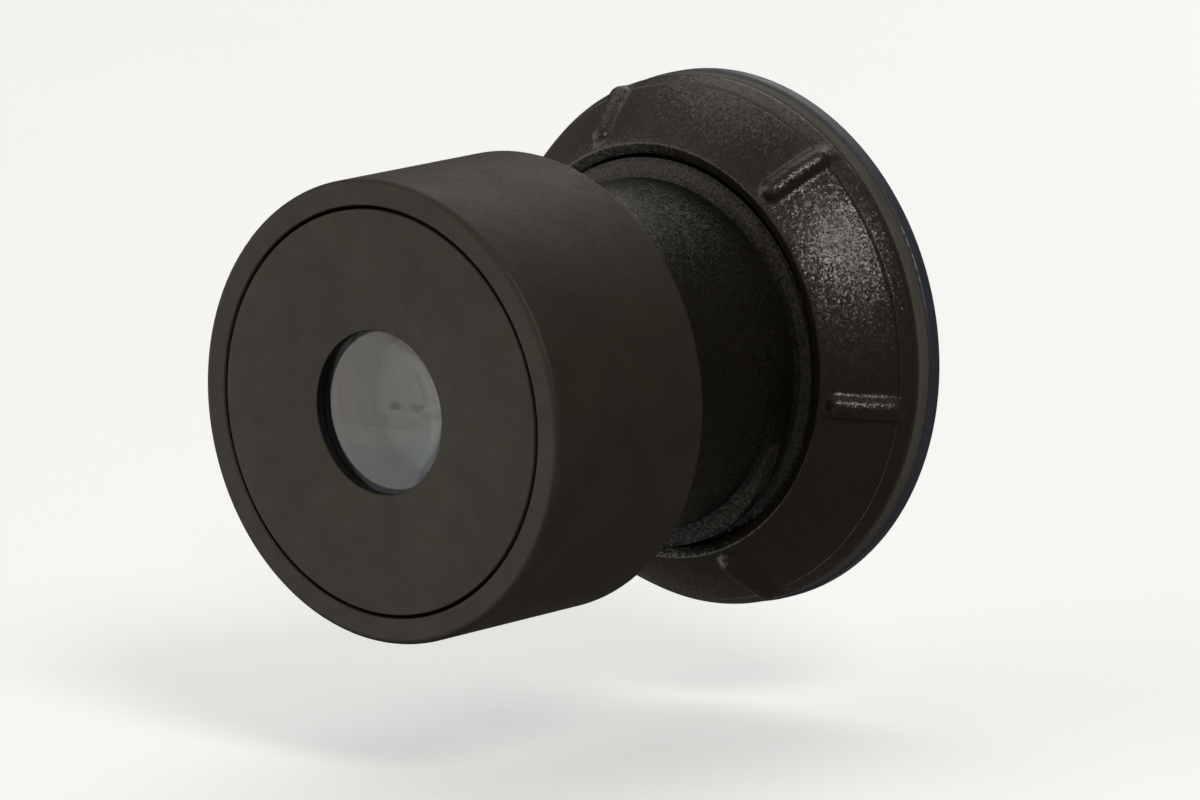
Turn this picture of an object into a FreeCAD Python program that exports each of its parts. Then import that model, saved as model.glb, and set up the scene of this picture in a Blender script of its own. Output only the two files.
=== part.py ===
"""Stick-on magnifying viewfinder for a phone's screen.

Lengths are in millimetres. The origin is the centre of the foot's contact face, which lies
in the plane Y = 0 and faces +Y, onto the screen. The sight line runs along -Y to the eye,
and +Z is up. Places along the sight line are given as heights over the contact face.
"""
import FreeCAD, Part
import os
from math import ceil, sqrt

Vector = FreeCAD.Vector

# Tube with one coarse ridge of thread, which sets the sizes round it
tube_radius = 13.6
tube_wall = 1.6
thread_depth = 1.45
thread_lead = 2.7
ridge_crest_width = 0.6
ridge_root_width = 2.0
ridge_drop = 1.07
ridge_tip_angle = -12.0
ridge_taper_angle = 38.0
ridge_start_gap = 0.1
ridge_end_bite = 0.1
thread_bite = 0.3
sections_per_turn = 24
bore_clearance = 0.3

# Two lugs of inner thread in the flange, and the travel that they allow
lug_play = 0.3
lug_tip_clearance = 0.3
lug_arc = 40.0
lug_sections = 5
lug_count = 2
turn_in = 120.0
turn_out = 240.0

# Foot: a gripping pad and a cushion, both rings
pad_overhang = 0.15
pad_setback = 1.05
pad_thickness = 1.05
cushion_thickness = 1.05
cushion_inset = 0.2
pad_edge_round = 0.2

# Open line between the cushion and the flange
shadow_line = 0.45
shadow_depth = 0.7

# Grip flange, from its rim up to its lip
rim_land = 0.25
bevel_width = 0.5
bevel_rise = 1.1
dome_step = 0.2
dome_width = 3.8
dome_rise = 4.35
dome_bulge = 0.2
mouth_width = 1.1
lip_width = 0.3
lip_rise = 0.25
mouth_depth = 0.35

# Raised finger ribs on the flange
rib_count = 6
rib_angle = -10.2
rib_radius = 1.0
rib_height = 0.7
rib_lip_offset = 0.65
rib_foot_offset = 0.5

# Joint between the flange and the base ring
channel_wall = 1.55
channel_width = 0.8
channel_depth = 1.1
tongue_clearance = 0.05
skirt_wall = 0.8
screen_clearance = 0.35

# Friction ring that damps the turning
friction_ring_height = 1.0
friction_fit = 0.05
friction_groove_depth = 0.5
groove_lip = 0.6
lug_ring_gap = 0.2

# Tube's front and the plate on it
overall_height = 41.0
seat_step = 0.3
plate_overhang = 1.6
plate_thickness = 0.7
plate_skirt_width = 0.95
plate_skirt_depth = 1.5
plate_edge_round = 0.12
aperture_radius = 6.2
aperture_edge_round = 0.1

# Lens cell and lenses
cell_gap = 0.05
cell_wall = 1.45
cell_depth = 7.3
cell_skirt_wall = 1.35
cell_skirt_depth = 5.6
cell_web = 1.5
lens_radius = 7.5
lens_seat_clearance = 0.02
fit_clearance = 0.05
eye_lens_curve = 36.0
eye_lens_edge = 1.5
spacer_bore_radius = 6.7
spacer_length = 2.5
field_lens_curve = 40.0
field_lens_edge = 1.4
retainer_bore_radius = 6.5
retainer_length = 1.2
retainer_slot_width = 1.2
retainer_slot_depth = 0.6

# Eyecup sleeve
sleeve_reach = 4.0
sleeve_wall = 2.0
sleeve_length = 16.9
sleeve_web = 2.0
sleeve_hub_wall = 1.35
sleeve_hub_length = 6.0
sleeve_front_round = 0.5
sleeve_rear_round = 0.4
sleeve_lip_round = 0.15

# Radii worked out from the sizes above, from the tube outwards
tube_bore_radius = tube_radius - tube_wall
ridge_crest_radius = tube_radius + thread_depth
plate_radius = tube_radius + plate_overhang
sleeve_radius = tube_radius + sleeve_reach
bore_radius = ridge_crest_radius + bore_clearance
channel_radius = bore_radius + channel_wall
lip_radius = bore_radius + mouth_width
bevel_radius = lip_radius + dome_width
rim_radius = bevel_radius + bevel_width
pad_hole_radius = bore_radius + pad_setback
pad_radius = rim_radius + pad_overhang

# Heights worked out from the contact face forwards
cushion_top = pad_thickness + cushion_thickness
flange_bottom = cushion_top + shadow_line
dome_foot_height = flange_bottom + rim_land + bevel_rise + dome_step
dome_head_height = dome_foot_height + dome_rise
lip_height = dome_head_height + lip_rise
ridge_height = lip_height - ridge_drop
flank_slope = (ridge_root_width - ridge_crest_width) / 2 / thread_depth
travel_in = thread_lead * turn_in / 360
travel_out = thread_lead * turn_out / 360
tube_rear = screen_clearance + travel_in
groove_low = tube_rear + groove_lip
groove_top = groove_low + friction_ring_height + 2 * friction_fit
tube_front = overall_height - plate_thickness
cell_front = tube_front - cell_gap
cell_rear = cell_front - cell_depth
cell_shoulder = cell_front - cell_skirt_depth


def at(radius, height):
    """A point of a turned piece's section: distance from the sight line, and height."""
    return Vector(radius, -height, 0)


def turned(start, *steps):
    """Turn a closed section about the sight line.

    A step is a point (radius, height), or a pair of points for an arc through the first.
    """
    edges = []
    here = at(*start)
    for step in steps + (start,):
        if isinstance(step[0], tuple):
            middle, end = at(*step[0]), at(*step[1])
            edges.append(Part.Arc(here, middle, end).toShape())
        else:
            end = at(*step)
            edges.append(Part.makeLine(here, end))
        here = end
    face = Part.Face(Part.Wire(edges))
    return face.revolve(Vector(0, 0, 0), Vector(0, 1, 0), 360)


def ring(inner, outer, low, high):
    """A plain ring between two radii and two heights."""
    return turned((inner, low), (outer, low), (outer, high), (inner, high))


def rounded(solid, size, *places):
    """Round the circular edges that lie at the given (radius, height) places."""
    chosen = []
    for edge in solid.Edges:
        if not isinstance(edge.Curve, Part.Circle):
            continue
        for radius, height in places:
            same_size = abs(edge.Curve.Radius - radius) < 1e-4
            if same_size and abs(edge.Curve.Center.y + height) < 1e-4:
                chosen.append(edge)
    return solid.makeFillet(size, chosen)


def around(shape, degrees):
    """A copy turned about the sight line, anticlockwise as the eye sees it."""
    copy = shape.copy()
    copy.rotate(Vector(0, 0, 0), Vector(0, -1, 0), degrees)
    return copy


def sag(radius, curve):
    """How far a sphere of radius curve falls away at a distance from its middle."""
    return curve - sqrt(curve ** 2 - radius ** 2)


def ridge_half_width(radius):
    """Half the width along the sight line of the tube's ridge at a radius."""
    return ridge_crest_width / 2 + (ridge_crest_radius - radius) * flank_slope


def lug_half_width(radius):
    """Half the width of a lug: the gap between two turns of the ridge, less the play."""
    return thread_lead / 2 - ridge_half_width(radius) - lug_play


def thread_section(degrees, height, inner, outer, half_width):
    """A four-cornered section across the thread, in the plane through the sight line."""
    corners = []
    for radius, side in ((inner, -1), (outer, -1), (outer, 1), (inner, 1)):
        place = at(radius, height + side * half_width(radius))
        corners.append(place)
    wire = Part.makePolygon(corners + corners[:1])
    return around(wire, degrees)


def ridge_height_at(degrees):
    """Height of the middle of the ridge's lower turn, counted on past a full turn."""
    return ridge_height + thread_lead * degrees / 360


def pad():
    blank = ring(pad_hole_radius, pad_radius, 0, pad_thickness)
    return rounded(blank, pad_edge_round, (pad_radius, pad_thickness))


def cushion():
    blank = ring(pad_hole_radius, pad_radius - cushion_inset, pad_thickness, cushion_top)
    return rounded(blank, pad_edge_round, (pad_radius - cushion_inset, cushion_top))


def base_ring():
    """Hard ring that carries the cushion, plugs into the flange and guides the tube."""
    plate_edge = rim_radius - shadow_depth
    skirt_radius = bore_radius + skirt_wall
    tongue_inner = channel_radius + tongue_clearance
    tongue_outer = channel_radius + channel_width - tongue_clearance
    tongue_top = flange_bottom + channel_depth - tongue_clearance
    return turned((bore_radius, screen_clearance),
                  (skirt_radius, screen_clearance), (skirt_radius, cushion_top),
                  (plate_edge, cushion_top), (plate_edge, flange_bottom),
                  (tongue_outer, flange_bottom), (tongue_outer, tongue_top),
                  (tongue_inner, tongue_top), (tongue_inner, flange_bottom),
                  (bore_radius, flange_bottom))


def dome_foot():
    """Lower end of the dome, a small step above the bevelled rim."""
    return bevel_radius - dome_step / 2, dome_foot_height


def dome_head():
    """Upper end of the dome, where the lip begins."""
    return lip_radius, dome_head_height


def dome_point(radius, over):
    """A point over the straight line between the dome's ends, square to that line."""
    (foot_radius, foot_height), (head_radius, head_height) = dome_foot(), dome_head()
    run, rise = foot_radius - head_radius, head_height - foot_height
    slope_length = sqrt(run ** 2 + rise ** 2)
    height = foot_height + (foot_radius - radius) / run * rise
    return radius + over * rise / slope_length, height + over * run / slope_length


def flange_blank():
    """Turned form of the grip flange with its lip, mouth, dome and bevelled rim."""
    rim_top = flange_bottom + rim_land
    bevel_top = rim_top + bevel_rise
    channel_top = flange_bottom + channel_depth
    channel_outer = channel_radius + channel_width
    crown = dome_point((dome_foot()[0] + dome_head()[0]) / 2, dome_bulge)
    return turned((bore_radius, flange_bottom),
                  (channel_radius, flange_bottom), (channel_radius, channel_top),
                  (channel_outer, channel_top), (channel_outer, flange_bottom),
                  (rim_radius, flange_bottom), (rim_radius, rim_top),
                  (bevel_radius, bevel_top), dome_foot(), (crown, dome_head()),
                  (lip_radius - lip_width, lip_height),
                  (bore_radius, lip_height - mouth_depth))


def rib():
    """Round-backed finger rib with round ends, laid along the dome on the +X side."""
    over = dome_bulge + rib_height - rib_radius
    inner = at(*dome_point(lip_radius + rib_lip_offset, over - dome_bulge / 2))
    outer = at(*dome_point(bevel_radius - rib_foot_offset, over - dome_bulge / 2))
    way = outer - inner
    back = Part.makeCylinder(rib_radius, way.Length, inner, way)
    ends = [Part.makeSphere(rib_radius, inner), Part.makeSphere(rib_radius, outer)]
    return back.fuse(ends).removeSplitter()


def lug(height):
    """A short piece of inner thread, in the gap between two turns of the ridge."""
    inner = tube_radius + lug_tip_clearance
    outer = bore_radius + thread_bite
    middle = 360 * (height - ridge_height - thread_lead / 2) / thread_lead
    sections = []
    for number in range(lug_sections):
        offset = lug_arc * (number / (lug_sections - 1) - 0.5)
        rise = thread_lead * offset / 360
        section = thread_section(middle + offset, height + rise, inner, outer, lug_half_width)
        sections.append(section)
    return Part.makeLoft(sections, True)


def lowest_lug_height():
    """Height of the lowest lug, clear of the friction ring at the end of its travel."""
    ring_top = groove_top - friction_fit + travel_out
    arc_rise = thread_lead * lug_arc / 2 / 360
    return ring_top + lug_ring_gap + arc_rise + lug_half_width(bore_radius)


def flange():
    solid = flange_blank()
    for number in range(lug_count):
        height = lowest_lug_height() + number * thread_lead / lug_count
        solid = solid.fuse(lug(height))
    for number in range(rib_count):
        solid = solid.fuse(around(rib(), rib_angle + number * 360 / rib_count))
    return solid


def friction_ring():
    inner = tube_radius - friction_groove_depth + friction_fit
    outer = bore_radius - friction_fit
    low = groove_low + friction_fit
    return ring(inner, outer, low, low + friction_ring_height)


def ridge():
    """The tube's coarse thread, which runs out to nothing at both ends."""
    inner = tube_radius - thread_bite
    ridge_end_radius = tube_radius - ridge_end_bite
    last = 360 + ridge_tip_angle
    lowest = groove_top + ridge_half_width(inner) + ridge_start_gap
    first = 360 * (lowest - ridge_height) / thread_lead
    steps = ceil((last - first) / 360 * sections_per_turn)
    sections = []
    for step in range(steps + 1):
        degrees = first + (last - first) * step / steps
        from_end = min(degrees - first, last - degrees)
        full = min(1, from_end / ridge_taper_angle)
        crest = ridge_end_radius + (ridge_crest_radius - ridge_end_radius) * full
        height = ridge_height_at(degrees)
        sections.append(thread_section(degrees, height, inner, crest, ridge_half_width))
    return Part.makeLoft(sections, True)


def focus_tube():
    """Tube with the friction ring's groove behind and the lens cell's seat in front."""
    groove_floor = tube_radius - friction_groove_depth
    seat_radius = tube_bore_radius + seat_step
    barrel = turned((tube_bore_radius, tube_rear),
                    (tube_radius, tube_rear), (tube_radius, groove_low),
                    (groove_floor, groove_low), (groove_floor, groove_top),
                    (tube_radius, groove_top), (tube_radius, tube_front),
                    (seat_radius, tube_front), (seat_radius, cell_shoulder),
                    (tube_bore_radius, cell_shoulder))
    return barrel.fuse(ridge())


def front_plate():
    """Flat plate with the eye's aperture, capped over the tube's end."""
    skirt_inner = tube_radius + fit_clearance
    skirt_outer = tube_radius + plate_skirt_width
    skirt_end = tube_front - plate_skirt_depth
    blank = turned((aperture_radius, tube_front), (skirt_inner, tube_front),
                   (skirt_inner, skirt_end), (skirt_outer, skirt_end),
                   (skirt_outer, tube_front), (plate_radius, tube_front),
                   (plate_radius, overall_height), (aperture_radius, overall_height))
    blank = rounded(blank, plate_edge_round, (plate_radius, overall_height))
    return rounded(blank, aperture_edge_round, (aperture_radius, overall_height))


def lens_cell():
    """Sleeve for the lenses, with a skirt that stands on the tube's inner step."""
    bore = lens_radius + fit_clearance
    hub = bore + cell_wall
    skirt_outer = tube_bore_radius + seat_step - fit_clearance
    skirt_inner = skirt_outer - cell_skirt_wall
    web_back = cell_front - cell_web
    return turned((bore, cell_front), (bore, cell_rear), (hub, cell_rear), (hub, web_back),
                  (skirt_inner, web_back), (skirt_inner, cell_shoulder),
                  (skirt_outer, cell_shoulder), (skirt_outer, cell_front))


def eye_lens_top():
    """Height of the eye lens's front vertex, with the lens against the aperture's edge."""
    return tube_front - lens_seat_clearance + sag(aperture_radius, eye_lens_curve)


def eye_lens():
    """Lens with two equal convex faces."""
    top = eye_lens_top()
    edge_top = top - sag(lens_radius, eye_lens_curve)
    edge_low = edge_top - eye_lens_edge
    low = edge_low - sag(lens_radius, eye_lens_curve)
    part_way = lens_radius / 2
    drop = sag(part_way, eye_lens_curve)
    return turned((0, low), ((part_way, low + drop), (lens_radius, edge_low)),
                  (lens_radius, edge_top), ((part_way, top - drop), (0, top)))


def spacer_top():
    """Height of the spacer's front end, under the eye lens's rear face."""
    edge_low = eye_lens_top() - sag(lens_radius, eye_lens_curve) - eye_lens_edge
    bulge = sag(lens_radius, eye_lens_curve) - sag(spacer_bore_radius, eye_lens_curve)
    return edge_low - bulge - lens_seat_clearance


def lens_spacer():
    top = spacer_top()
    return ring(spacer_bore_radius, lens_radius, top - spacer_length, top)


def field_lens_top():
    """Height of the field lens's front vertex, inside the spacer."""
    spacer_end = spacer_top() - spacer_length - lens_seat_clearance
    return spacer_end + sag(spacer_bore_radius, field_lens_curve)


def field_lens_back():
    return field_lens_top() - sag(lens_radius, field_lens_curve) - field_lens_edge


def field_lens():
    """Lens with a flat back and a convex face towards the eye lens."""
    top, back = field_lens_top(), field_lens_back()
    edge_top = back + field_lens_edge
    part_way = lens_radius / 2
    drop = sag(part_way, field_lens_curve)
    return turned((0, back), (lens_radius, back), (lens_radius, edge_top),
                  ((part_way, top - drop), (0, top)))


def lens_retainer():
    """Ring that holds the lenses in, with two slots across its back for a key."""
    back = field_lens_back()
    low = back - retainer_length
    solid = ring(retainer_bore_radius, lens_radius, low, back)
    slot = Part.makeBox(2 * pad_radius, retainer_slot_depth, retainer_slot_width)
    slot.translate(Vector(-pad_radius, -low - retainer_slot_depth, -retainer_slot_width / 2))
    return solid.cut(slot)


def eyecup_sleeve():
    """Eyecup: a cup open to the front, on a hub that grips the tube."""
    rear = overall_height - sleeve_length
    inner = sleeve_radius - sleeve_wall
    hub_inner = tube_radius + fit_clearance
    hub_outer = hub_inner + sleeve_hub_wall
    hub_top = rear + sleeve_hub_length
    blank = turned((hub_inner, rear), (sleeve_radius, rear), (sleeve_radius, overall_height),
                   (inner, overall_height), (inner, rear + sleeve_web),
                   (hub_outer, rear + sleeve_web), (hub_outer, hub_top), (hub_inner, hub_top))
    blank = rounded(blank, sleeve_front_round, (sleeve_radius, overall_height))
    blank = rounded(blank, sleeve_lip_round, (inner, overall_height))
    return rounded(blank, sleeve_rear_round, (sleeve_radius, rear))


def write_parts():
    nodes = {
        "suction_pad": pad(),
        "cushion_ring": cushion(),
        "base_ring": base_ring(),
        "grip_flange": flange(),
        "friction_ring": friction_ring(),
        "focus_tube": focus_tube(),
        "lens_cell": lens_cell(),
        "eye_lens": eye_lens(),
        "lens_spacer": lens_spacer(),
        "field_lens": field_lens(),
        "lens_retainer": lens_retainer(),
        "front_plate": front_plate(),
        "eyecup_sleeve": eyecup_sleeve(),
    }
    os.makedirs("parts", exist_ok=True)
    for name, shape in nodes.items():
        shape.exportStep("parts/" + name + ".step")
        print(name, len(shape.Solids), shape.isValid(), round(shape.Volume, 1))


write_parts()
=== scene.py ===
"""Looks for the stick-on viewfinder: materials, finely turned skins, floor, light and camera.

Metres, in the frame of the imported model: the sight line runs along -Y, and +Z is up.
"""
from math import atan2, cos, pi, radians, sin, sqrt

import bpy
from mathutils import Matrix, Vector


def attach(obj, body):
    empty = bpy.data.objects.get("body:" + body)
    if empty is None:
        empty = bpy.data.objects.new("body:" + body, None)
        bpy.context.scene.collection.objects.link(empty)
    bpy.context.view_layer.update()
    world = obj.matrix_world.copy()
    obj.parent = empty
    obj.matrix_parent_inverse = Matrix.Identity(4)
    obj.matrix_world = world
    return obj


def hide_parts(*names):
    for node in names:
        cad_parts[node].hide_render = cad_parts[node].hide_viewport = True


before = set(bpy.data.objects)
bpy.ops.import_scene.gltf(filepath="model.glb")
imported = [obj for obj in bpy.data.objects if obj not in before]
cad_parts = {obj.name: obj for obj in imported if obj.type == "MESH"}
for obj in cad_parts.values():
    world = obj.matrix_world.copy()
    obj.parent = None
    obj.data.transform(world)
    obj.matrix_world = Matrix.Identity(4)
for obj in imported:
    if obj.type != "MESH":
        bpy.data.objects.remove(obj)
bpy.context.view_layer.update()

MM = 0.001

# Camera: place and aim from the photograph, in the viewfinder's own frame
CAMERA_PLACE = Vector((0.49195, -0.58867, 0.12631))
CAMERA_UP = Vector((-0.08336, 0.14239, 0.98629))
CAMERA_AIM = Vector((0.0012, -0.0170, -0.0025))
CAMERA_LENS = 300.0
SENSOR_WIDTH = 36.0

# Floor under the part
FLOOR_HEIGHT = -0.0289
FLOOR_REACH = 12.0
FLOOR_GLOW = 0.42
FLOOR_ROUGHNESS = 0.75

# Surroundings: ways, how each zone fades in towards its way, and its colour and strength
BRIGHT_SIDE = Vector((-0.63, -0.74, 0.05))
OVERHEAD = Vector((0.0, 0.0, 1.0))
BRIGHT_FADE = (0.58, 0.86)
OVERHEAD_FADE = (0.2, 0.9)
BELOW_FADE = (0.26, 0.29)
DIM_GLOW = ((1.0, 0.90, 0.76), 0.12)
OVERHEAD_GLOW = ((1.0, 0.94, 0.84), 0.26)
BRIGHT_GLOW = ((1.0, 0.93, 0.83), 1.55)
BELOW_GLOW = ((0.95, 0.96, 0.97), 1.35)
BACKDROP_GLOW = ((0.86, 0.87, 0.88), 0.95)

# Lamps: name, way to it, distance, size, watts and colour
LAMPS = (("key", (0.687, -0.425, 0.588), 1.0, 0.28, 4.2, (1.0, 0.95, 0.87)),
         ("top", (-0.25, 0.35, 1.0), 1.4, 1.3, 5.5, (1.0, 0.97, 0.92)),
         ("back", (-0.30, 1.0, 0.30), 1.2, 0.8, 3.0, (1.0, 0.98, 0.95)))

# Colours of each material, the darker and the lighter one; some, as marked, are painted light and
# shade
MATT_BLACK = ((0.0165, 0.0138, 0.0098), (0.0255, 0.0215, 0.0155))
# Painted shade: near-black on the aperture's wall, where the recess lies in shadow
APERTURE_PAINTED_SHADE = ((0.0015, 0.0014, 0.0012), (0.002, 0.0018, 0.0016))
SATIN_BLACK = ((0.0085, 0.0068, 0.0042), (0.0140, 0.0110, 0.0068))
TUBE_BLACK = ((0.0035, 0.0028, 0.0019), (0.0065, 0.0052, 0.0036))
# Painted light: the thread's front flank made lighter, where it catches the light
FLANK_PAINTED_LIGHT = ((0.010, 0.0088, 0.0070), (0.020, 0.0175, 0.0140))
# Painted shade: the thread's crest and outer wall made darker, deep in the groove under the
# flange
CREST_PAINTED_SHADE = ((0.0015, 0.0012, 0.0009), (0.003, 0.0025, 0.0018))
RING_BLACK = ((0.006, 0.006, 0.006), (0.010, 0.009, 0.008))
CELL_BLACK = ((0.005, 0.005, 0.005), (0.008, 0.008, 0.007))
RUBBER_GREY = ((0.040, 0.036, 0.031), (0.060, 0.054, 0.047))
# Dark gel, with a blue tint that is a painted reflection along the pad's edge
GEL_DARK_AND_PAINTED_BLUE = ((0.014, 0.018, 0.028), (0.022, 0.028, 0.042))
GLASS_FILM = ((0.62, 0.66, 0.68), (0.70, 0.74, 0.76))
FLOOR_PALE = ((0.73, 0.75, 0.77), (0.76, 0.78, 0.80))

# Sizes of the patches in the materials, in millimetres
CLOUD_SIZE = 6.0
WEAR_SIZE = 2.4
TONE_SIZE = 0.4
FILM_SIZE = 1.8
RIPPLE_SIZE = 9.0
FLOOR_CLOUD_SIZE = 260.0

# Gloss of the lens, and how it bends light
LENS_ROUGHNESS = (0.005, 0.05)
LENS_IOR = 1.59

# Grip flange, in millimetres: a radius and a height over the contact face for each place
MOUTH = (15.35, 8.35)
LIP_TOP = (16.15, 8.70)
LIP_EDGE = (16.45, 8.45)
DOME_FOOT = (20.15, 4.10)
DOME_BULGE = 0.20
DOME_ROWS = 64
FOOT_ROWS = 3
STEP_FOOT = (20.13, 3.88)
BEVEL_HEAD = (20.27, 3.85)
RIM_TOP = (20.75, 2.80)
UNDERSIDE = 2.55
UNDERSIDE_EDGE = 20.60
CHANNEL_INNER, CHANNEL_OUTER, CHANNEL_TOP = 16.90, 17.70, 3.65
MOUTH_BACK = 5.4

# How far each corner of the flange's section is eased, and in how many steps
EASE_STEPS = 4
EASE_MOST = 0.45
LIP_EASE = 0.14
DOME_EASE = 0.09
STEP_EASE = 0.02
BEVEL_EASE = 0.08
RIM_EASE = 0.16
UNDERSIDE_EASE = 0.06

# Ribs of the flange: a round back that runs into the dome with a hollow foot
RIB_COUNT = 6
RIB_ANGLE = -10.2
RIB_BACK = 1.0
RIB_HEIGHT = 0.72
RIB_FOOT = 0.6
RIB_START, RIB_END = 1.2, 5.45
RIB_SPREAD = 6.0
RIB_COLUMNS, PLAIN_COLUMNS = 44, 24

# Lugs in the flange's mouth: two short lengths of the thread, opposite each other
THREAD_LEAD = 2.7
LUG_ARC = 40.0
LUG_STEPS = 8
LUG_TIP_RADIUS, LUG_TIP_HALF = 13.9, 0.195
LUG_ROOT_RADIUS, LUG_ROOT_HALF = 15.45, 0.943
LUG_ANGLE, LUG_HEIGHT = -44.67, 5.945

# Front plate: its edge comes a little nearer to the eyecup than the plain solid's
PLATE_EDGE = 15.35
PLATE_EASE = 0.12
APERTURE = 6.2
APERTURE_EASE = 0.1
PLATE_FRONT, PLATE_BACK = 41.0, 40.3
SKIRT_INNER, SKIRT_OUTER, SKIRT_END = 13.65, 14.55, 38.8
PLATE_COLUMNS = 256

# Where painted shade and light change a colour, as a radius round the sight line, and over what
# width
TONE_EDGE = 0.05
APERTURE_WALL = 6.22
THREAD_FLANK = 14.0
THREAD_CREST = 14.75


def linked(name, data):
    """An object of some data, put in the scene."""
    made = bpy.data.objects.new(name, data)
    bpy.context.collection.objects.link(made)
    return made


def camera():
    """The photograph's viewing angle, turned a little to bring the part to the middle."""
    data = bpy.data.cameras.new("camera")
    data.lens = CAMERA_LENS
    data.sensor_width = SENSOR_WIDTH
    data.clip_start, data.clip_end = 0.05, 100.0
    rig = linked("camera", data)
    back = (CAMERA_PLACE - CAMERA_AIM).normalized()
    right = CAMERA_UP.cross(back).normalized()
    up = back.cross(right)
    turn = Matrix((right, up, back)).transposed().to_4x4()
    rig.matrix_world = Matrix.Translation(CAMERA_PLACE) @ turn
    bpy.context.scene.camera = rig


class Shade:
    """A node material being put together."""

    def __init__(self, name):
        self.made = bpy.data.materials.new(name)
        self.made.use_nodes = True
        self.nodes = self.made.node_tree.nodes
        self.links = self.made.node_tree.links
        self.shader = self.nodes["Principled BSDF"]

    def add(self, kind, **settings):
        node = self.nodes.new(kind)
        for key, value in settings.items():
            setattr(node, key, value)
        return node

    def join(self, out, into):
        self.links.new(out, into)

    def give(self, socket, out):
        """Join something to the shader's own socket."""
        self.join(out, self.shader.inputs[socket])

    def set(self, socket, value):
        """One value all over the surface."""
        self.shader.inputs[socket].default_value = value

    def place(self, scale=(1.0, 1.0, 1.0)):
        """Object coordinates, stretched by scale."""
        coordinates = self.add("ShaderNodeTexCoord")
        mapping = self.add("ShaderNodeMapping")
        mapping.inputs["Scale"].default_value = scale
        self.join(coordinates.outputs["Object"], mapping.inputs["Vector"])
        return mapping.outputs["Vector"]

    def noise(self, where, size_mm, detail=2.0, roughness=0.5):
        node = self.add("ShaderNodeTexNoise")
        node.inputs["Scale"].default_value = 1.0 / (size_mm * MM)
        node.inputs["Detail"].default_value = detail
        node.inputs["Roughness"].default_value = roughness
        self.join(where, node.inputs["Vector"])
        return node.outputs["Fac"]

    def vector(self, operation, first, second=None):
        node = self.add("ShaderNodeVectorMath", operation=operation)
        self.join(first, node.inputs[0])
        if second is not None:
            self.join(second, node.inputs[1])
        return node

    def facets(self, where, size_mm, tilt, normal):
        """The normal, turned a little by each of many small facets."""
        cells = self.add("ShaderNodeTexVoronoi")
        cells.inputs["Scale"].default_value = 1.0 / (size_mm * MM)
        self.join(where, cells.inputs["Vector"])
        middle = self.add("ShaderNodeCombineXYZ")
        for axis in "XYZ":
            middle.inputs[axis].default_value = 0.5
        lean = self.vector("SUBTRACT", cells.outputs["Color"], middle.outputs["Vector"])
        small = self.vector("SCALE", lean.outputs["Vector"])
        small.inputs["Scale"].default_value = tilt
        leaning = self.vector("ADD", normal, small.outputs["Vector"])
        return self.vector("NORMALIZE", leaning.outputs["Vector"]).outputs["Vector"]

    def radius(self):
        """Distance from the sight line."""
        return self.vector("LENGTH", self.place((1.0, 0.0, 1.0))).outputs["Value"]

    def ramp(self, value, low, high, start=0.3, end=0.7):
        """A number taken from start..end to low..high."""
        node = self.add("ShaderNodeMapRange")
        node.inputs["From Min"].default_value = start
        node.inputs["From Max"].default_value = end
        node.inputs["To Min"].default_value = low
        node.inputs["To Max"].default_value = high
        self.join(value, node.inputs["Value"])
        return node.outputs["Result"]

    def tint(self, value, colours, start=0.3, end=0.7):
        """A number taken from start..end to a darker and a lighter colour."""
        node = self.add("ShaderNodeValToRGB")
        for element, place, colour in zip(node.color_ramp.elements, (start, end), colours):
            element.position = place
            element.color = (*colour, 1.0)
        self.join(value, node.inputs["Fac"])
        return node.outputs["Color"]

    def blend(self, first, second, share):
        node = self.add("ShaderNodeMix", data_type="RGBA")
        self.join(share, node.inputs["Factor"])
        self.join(first, node.inputs["A"])
        self.join(second, node.inputs["B"])
        return node.outputs["Result"]

    def bump(self, height, strength, distance_mm):
        node = self.add("ShaderNodeBump")
        node.inputs["Strength"].default_value = strength
        node.inputs["Distance"].default_value = distance_mm * MM
        self.join(height, node.inputs["Height"])
        return node.outputs["Normal"]


def moulded(name, colours, rough, grain_mm=0.12, depth_mm=0.010, sparkle=0.0, specular=0.5):
    """Moulded plastic: mottled colour, uneven gloss, a fine grain, and points that sparkle."""
    shade = Shade(name)
    where = shade.place()
    cloud = shade.noise(where, CLOUD_SIZE, 3.0)
    speck = shade.noise(where, grain_mm * 1.6, 1.0)
    colour = shade.blend(shade.tint(cloud, colours), shade.tint(speck, colours, 0.35, 0.65),
                         shade.ramp(speck, 0.2, 0.5))
    shade.give("Base Color", colour)
    worn = shade.noise(where, WEAR_SIZE, 4.0, 0.6)
    shade.give("Roughness", shade.ramp(worn, *rough))
    normal = shade.bump(shade.noise(where, grain_mm, 1.5, 0.6), 1.0, depth_mm)
    if sparkle:
        normal = shade.facets(where, grain_mm, sparkle, normal)
    shade.give("Normal", normal)
    shade.set("Specular IOR Level", specular)
    return shade


def paint_light_and_shade(shade, radius_mm, colours, within):
    """Painted light and shade: other colours within a radius round the sight line, or outside it.
    """
    before = shade.shader.inputs["Base Color"].links[0].from_socket
    start, end = radius_mm * MM, (radius_mm + TONE_EDGE) * MM
    share = shade.ramp(shade.radius(), float(within), float(not within), start, end)
    other = shade.tint(shade.noise(shade.place(), TONE_SIZE), colours)
    shade.give("Base Color", shade.blend(before, other, share))


def lens_material(name):
    """Polished glass with a faint film on it."""
    shade = Shade(name)
    where = shade.place()
    film = shade.noise(where, FILM_SIZE, 4.0, 0.6)
    shade.give("Roughness", shade.ramp(film, *LENS_ROUGHNESS))
    shade.give("Base Color", shade.tint(film, GLASS_FILM))
    ripple = shade.noise(where, RIPPLE_SIZE, 1.0)
    shade.give("Normal", shade.bump(ripple, 0.05, 0.02))
    shade.set("IOR", LENS_IOR)
    shade.set("Transmission Weight", 1.0)
    return shade


def dress(node, shade):
    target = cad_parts[node].data
    target.materials.clear()
    target.materials.append(shade.made)


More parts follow.
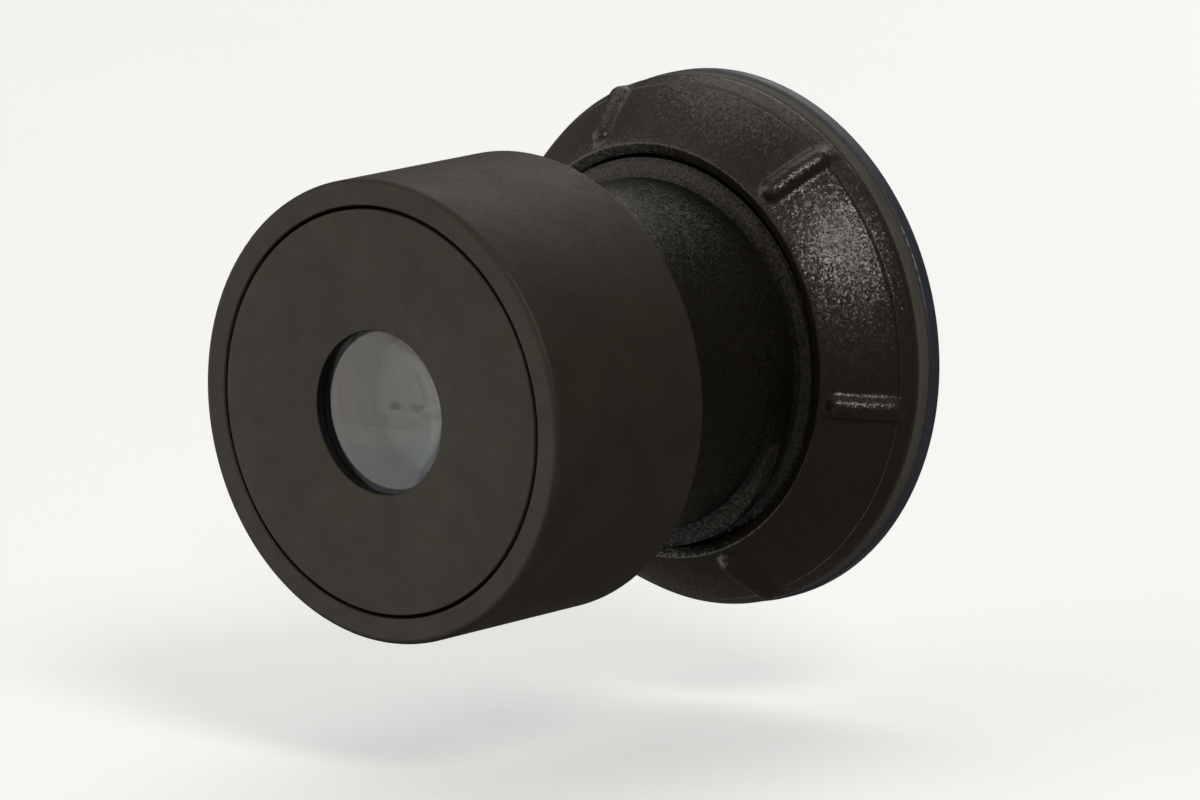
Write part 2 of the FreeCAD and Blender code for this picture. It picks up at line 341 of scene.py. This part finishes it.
def arc_rows(start, end, bulge, count):
    """Points, tangents, normals and lengths along a shallow arc between two section places."""
    run = Vector(end) - Vector(start)
    radius = run.length ** 2 / 8 / bulge + bulge / 2
    along = run.normalized()
    out = Vector((-along.y, along.x))
    centre = (Vector(start) + Vector(end)) / 2 - out * (radius - bulge)
    half = atan2(run.length / 2, radius - bulge)
    rows = []
    for number in range(count + 1):
        turn = half * (2 * number / count - 1)
        normal = out * cos(turn) + along * sin(turn)
        tangent = along * cos(turn) - out * sin(turn)
        rows.append((centre + normal * radius, tangent, normal, radius * (turn + half)))
    return rows


def eased(corners):
    """Section corners, each a place and how far it is eased, as a row of points."""
    made = []
    for number, (place, ease) in enumerate(corners):
        corner = Vector(place)
        if ease == 0:
            made.append(corner)
            continue
        before = Vector(corners[number - 1][0]) - corner
        after = Vector(corners[number + 1][0]) - corner
        ease = min(ease, before.length * EASE_MOST, after.length * EASE_MOST)
        first = corner + before.normalized() * ease
        last = corner + after.normalized() * ease
        for step in range(EASE_STEPS + 1):
            share = step / EASE_STEPS
            low, high = first.lerp(corner, share), corner.lerp(last, share)
            made.append(low.lerp(high, share))
    return made


def rib_over(away, base):
    """Height of a rib and its hollow foot over a base, at a distance from its middle line."""
    crest = RIB_HEIGHT - RIB_BACK
    reach = RIB_BACK + RIB_FOOT
    rise = RIB_FOOT + base - crest
    if rise >= reach:
        return base
    foot = sqrt(reach ** 2 - rise ** 2)
    if away >= foot:
        return base
    if away <= foot * RIB_BACK / reach:
        return crest + sqrt(RIB_BACK ** 2 - away ** 2)
    return base + RIB_FOOT - sqrt(RIB_FOOT ** 2 - (foot - away) ** 2)


def rib_angles():
    """Columns round the flange, close together at the ribs and wide between them."""
    pitch = 360.0 / RIB_COUNT
    plain = pitch - 2 * RIB_SPREAD
    steps = [RIB_SPREAD * (number / RIB_COLUMNS * 2 - 1) for number in range(RIB_COLUMNS)]
    steps += [RIB_SPREAD + plain * number / PLAIN_COLUMNS for number in range(PLAIN_COLUMNS)]
    return [radians(RIB_ANGLE + pitch * rib + step)
            for rib in range(RIB_COUNT) for step in steps]


def off_rib(angle):
    """Angle to the nearest rib's middle."""
    pitch = 2 * pi / RIB_COUNT
    away = (angle - radians(RIB_ANGLE)) % pitch
    return min(away, pitch - away)


def over_line(place, start):
    """A place as a foot on the line from an arc's end, with the way along it and the offset."""
    point, way, out, length = start
    shift = Vector(place) - point
    along = shift.dot(way)
    return point + way * along, out, length + along, shift.dot(out)


def flange_rows():
    """Rows of the flange's skin: place on the even dome, normal, way along it, and offset.

    The eased foot takes the place of the dome's last rows.
    """
    dome = arc_rows(LIP_EDGE, DOME_FOOT, DOME_BULGE, DOME_ROWS)
    last = dome[-FOOT_ROWS][0]
    inside = eased([(MOUTH, 0), (LIP_TOP, LIP_EASE), (LIP_EDGE, 0)])
    outside = eased([(last, 0), (DOME_FOOT, DOME_EASE), (STEP_FOOT, STEP_EASE),
                     (BEVEL_HEAD, BEVEL_EASE), (RIM_TOP, RIM_EASE),
                     ((RIM_TOP[0], UNDERSIDE), UNDERSIDE_EASE), ((UNDERSIDE_EDGE, UNDERSIDE), 0)])
    rows = [over_line(place, dome[0]) for place in inside[:-1]]
    rows += [(place, out, length, 0.0) for place, _, out, length in dome[1:-FOOT_ROWS]]
    return rows + [over_line(place, dome[-1]) for place in outside[:-1]]


def skin_place(row, angle):
    """Where a row lies at an angle, with the rib that may pass there."""
    place, out, along, over = row
    beyond = max(RIB_START - along, along - RIB_END, 0.0)
    away = sqrt((place.x * off_rib(angle)) ** 2 + beyond ** 2)
    return place + out * rib_over(away, over)


def on_round(place, angle):
    """A section place, turned round the sight line."""
    return Vector((place.x * cos(angle), -place.y, place.x * sin(angle))) * MM


def shell(name, rows, angles, material, sharp=35.0):
    """A closed skin from rows of places, each row a function of the angle."""
    verts = [on_round(row(angle), angle) for row in rows for angle in angles]
    around, count = len(angles), len(rows)
    faces = []
    for j in range(count):
        for i in range(around):
            k, m = (i + 1) % around, (j + 1) % count
            faces.append((j * around + i, m * around + i, m * around + k, j * around + k))
    mesh = bpy.data.meshes.new(name)
    mesh.from_pydata([tuple(v) for v in verts], [], faces)
    mesh.validate()
    mesh.shade_smooth()
    mesh.set_sharp_from_angle(angle=radians(sharp))
    mesh.materials.append(material)
    return linked(name, mesh)


def lug(height, middle, material):
    """One short piece of the flange's inner thread."""
    section = ((LUG_TIP_RADIUS, -LUG_TIP_HALF), (LUG_ROOT_RADIUS, -LUG_ROOT_HALF),
               (LUG_ROOT_RADIUS, LUG_ROOT_HALF), (LUG_TIP_RADIUS, LUG_TIP_HALF))
    sides = len(section)
    verts, faces = [], []
    for number in range(LUG_STEPS + 1):
        offset = LUG_ARC * (number / LUG_STEPS - 0.5)
        centre = height + THREAD_LEAD * offset / 360
        for radius, half in section:
            verts.append(on_round(Vector((radius, centre + half)), radians(middle + offset)))
    for number in range(LUG_STEPS):
        for side in range(sides):
            a, b = number * sides + side, number * sides + (side + 1) % sides
            faces.append((a, b, b + sides, a + sides))
    end = LUG_STEPS * sides
    faces += [tuple(reversed(range(sides))), tuple(range(end, end + sides))]
    mesh = bpy.data.meshes.new("lug")
    mesh.from_pydata([tuple(v) for v in verts], [], faces)
    mesh.materials.append(material)
    return linked("lug", mesh)


def grip_flange(material):
    """The flange with its ribs run smoothly into the dome, in place of the plain solid."""
    rows = [lambda angle, row=row: skin_place(row, angle) for row in flange_rows()]
    for place in ((UNDERSIDE_EDGE, UNDERSIDE), (CHANNEL_OUTER, UNDERSIDE),
                  (CHANNEL_OUTER, CHANNEL_TOP), (CHANNEL_INNER, CHANNEL_TOP),
                  (CHANNEL_INNER, UNDERSIDE), (MOUTH[0], UNDERSIDE), (MOUTH[0], MOUTH_BACK)):
        rows.append(lambda angle, place=Vector(place): place)
    made = shell("grip_flange_skin", rows, rib_angles(), material)
    for half_turn in (0, 1):
        height = LUG_HEIGHT + half_turn * THREAD_LEAD / 2
        piece = lug(height, LUG_ANGLE - half_turn * 180, material)
        with bpy.context.temp_override(active_object=made, object=made,
                                       selected_editable_objects=[made, piece]):
            bpy.ops.object.join()
    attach(made, "base")
    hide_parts("grip_flange")


def front_plate(material):
    """The plate with its gap drawn as narrow as the photograph shows it."""
    section = eased([((APERTURE, PLATE_BACK), 0), ((APERTURE, PLATE_FRONT), APERTURE_EASE),
                     ((PLATE_EDGE, PLATE_FRONT), PLATE_EASE), ((PLATE_EDGE, PLATE_BACK), 0)])
    section += [Vector(place) for place in ((SKIRT_OUTER, PLATE_BACK), (SKIRT_OUTER, SKIRT_END),
                                            (SKIRT_INNER, SKIRT_END), (SKIRT_INNER, PLATE_BACK))]
    rows = [lambda angle, place=place: place for place in section]
    angles = [2 * pi * number / PLATE_COLUMNS for number in range(PLATE_COLUMNS)]
    made = shell("front_plate_skin", rows, angles, material)
    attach(made, "eyepiece")
    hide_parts("front_plate")


def floor_paint():
    """Pale paint, with a little glow to the camera so that it stays plain and even."""
    shade = Shade("floor_paint")
    cloud = shade.noise(shade.place(), FLOOR_CLOUD_SIZE, 2.0)
    pale = shade.tint(cloud, FLOOR_PALE)
    seen = shade.add("ShaderNodeLightPath").outputs["Is Camera Ray"]
    shade.give("Base Color", pale)
    shade.give("Emission Color", pale)
    shade.give("Emission Strength", shade.ramp(seen, 0.0, FLOOR_GLOW, 0.0, 1.0))
    shade.set("Roughness", FLOOR_ROUGHNESS)
    return shade.made


def floor():
    mesh = bpy.data.meshes.new("floor")
    corners = [(x * FLOOR_REACH, y * FLOOR_REACH, FLOOR_HEIGHT)
               for x, y in ((-1, -1), (1, -1), (1, 1), (-1, 1))]
    mesh.from_pydata(corners, [], [(0, 1, 2, 3)])
    mesh.materials.append(floor_paint())
    made = linked("floor", mesh)
    made.visible_glossy = False


def surroundings():
    """Bright to the left of the camera, less so overhead, dim elsewhere; pale to the camera."""
    world = bpy.data.worlds.new("studio")
    bpy.context.scene.world = world
    world.use_nodes = True
    nodes, links = world.node_tree.nodes, world.node_tree.links
    way = nodes.new("ShaderNodeTexCoord").outputs["Generated"]

    def glow(colour, strength):
        node = nodes.new("ShaderNodeBackground")
        node.inputs["Color"].default_value = (*colour, 1.0)
        node.inputs["Strength"].default_value = strength
        return node.outputs[0]

    def choose(share, without, within):
        node = nodes.new("ShaderNodeMixShader")
        links.new(share, node.inputs["Fac"])
        links.new(without, node.inputs[1])
        links.new(within, node.inputs[2])
        return node.outputs[0]

    def towards(side, start, end):
        """How far a direction lies towards a side, from 0 to 1."""
        facing = nodes.new("ShaderNodeVectorMath")
        facing.operation = "DOT_PRODUCT"
        facing.inputs[1].default_value = side.normalized()
        links.new(way, facing.inputs[0])
        share = nodes.new("ShaderNodeMapRange")
        share.interpolation_type = "SMOOTHSTEP"
        share.inputs["From Min"].default_value = start
        share.inputs["From Max"].default_value = end
        links.new(facing.outputs["Value"], share.inputs["Value"])
        return share.outputs["Result"]

    path = nodes.new("ShaderNodeLightPath")
    room = choose(towards(OVERHEAD, *OVERHEAD_FADE), glow(*DIM_GLOW), glow(*OVERHEAD_GLOW))
    bright = choose(towards(-OVERHEAD, *BELOW_FADE), glow(*BRIGHT_GLOW), glow(*BELOW_GLOW))
    room = choose(towards(BRIGHT_SIDE, *BRIGHT_FADE), room, bright)
    pale = glow(*BACKDROP_GLOW)
    room = choose(path.outputs["Is Transmission Ray"], room, pale)
    room = choose(path.outputs["Is Camera Ray"], room, pale)
    links.new(room, nodes["World Output"].inputs["Surface"])


def lamp(name, way, distance, size, watts, colour):
    """A square area light, facing the part from some way off."""
    data = bpy.data.lights.new(name, "AREA")
    data.size = size
    data.energy = watts
    data.color = colour
    made = linked(name, data)
    way = Vector(way).normalized()
    made.location = way * distance
    made.rotation_mode = "QUATERNION"
    made.rotation_quaternion = way.to_track_quat("Z", "Y")


def dress_cad():
    """A material for each piece, and the two skins that stand in for plain solids."""
    eyecup = moulded("eyecup_black", MATT_BLACK, (0.50, 0.60), sparkle=0.10, specular=0.27)
    plate = moulded("plate_black", MATT_BLACK, (0.50, 0.60), sparkle=0.10, specular=0.27)
    # Painted shade on the aperture's wall, where the recess lies in shadow
    paint_light_and_shade(plate, APERTURE_WALL, APERTURE_PAINTED_SHADE, True)
    satin = moulded("spark_black", SATIN_BLACK, (0.26, 0.38),
                    grain_mm=0.14, sparkle=0.26, specular=0.45)
    thread = moulded("thread_black", TUBE_BLACK, (0.30, 0.42),
                     grain_mm=0.14, sparkle=0.42, specular=0.27)
    # Painted light on the thread's front flank, where it catches the light
    paint_light_and_shade(thread, THREAD_FLANK, FLANK_PAINTED_LIGHT, False)
    # Painted shade on the thread's crest and outer wall, deep in the groove under the flange
    paint_light_and_shade(thread, THREAD_CREST, CREST_PAINTED_SHADE, False)
    hard = moulded("ring_black", RING_BLACK, (0.45, 0.6))
    inner = moulded("cell_black", CELL_BLACK, (0.55, 0.7))
    rubber = moulded("cushion_rubber", RUBBER_GREY, (0.65, 0.8), grain_mm=0.14, depth_mm=0.02)
    # Dark gel with a painted bluish reflection in its colour
    gel = moulded("pad_polymer", GEL_DARK_AND_PAINTED_BLUE, (0.34, 0.44), grain_mm=0.60, depth_mm=0.001)
    glass = lens_material("lens_glass")
    for shade, nodes in ((eyecup, ("eyecup_sleeve",)), (plate, ("front_plate",)),
                         (satin, ("grip_flange",)), (thread, ("focus_tube",)),
                         (hard, ("base_ring", "friction_ring")),
                         (inner, ("lens_cell", "lens_spacer", "lens_retainer")),
                         (rubber, ("cushion_ring",)), (gel, ("suction_pad",)),
                         (glass, ("eye_lens", "field_lens"))):
        for node in nodes:
            dress(node, shade)
    grip_flange(satin.made)
    front_plate(plate.made)


bpy.context.scene.view_settings.view_transform = "Standard"
camera()
floor()
surroundings()
for values in LAMPS:
    lamp(*values)
dress_cad()
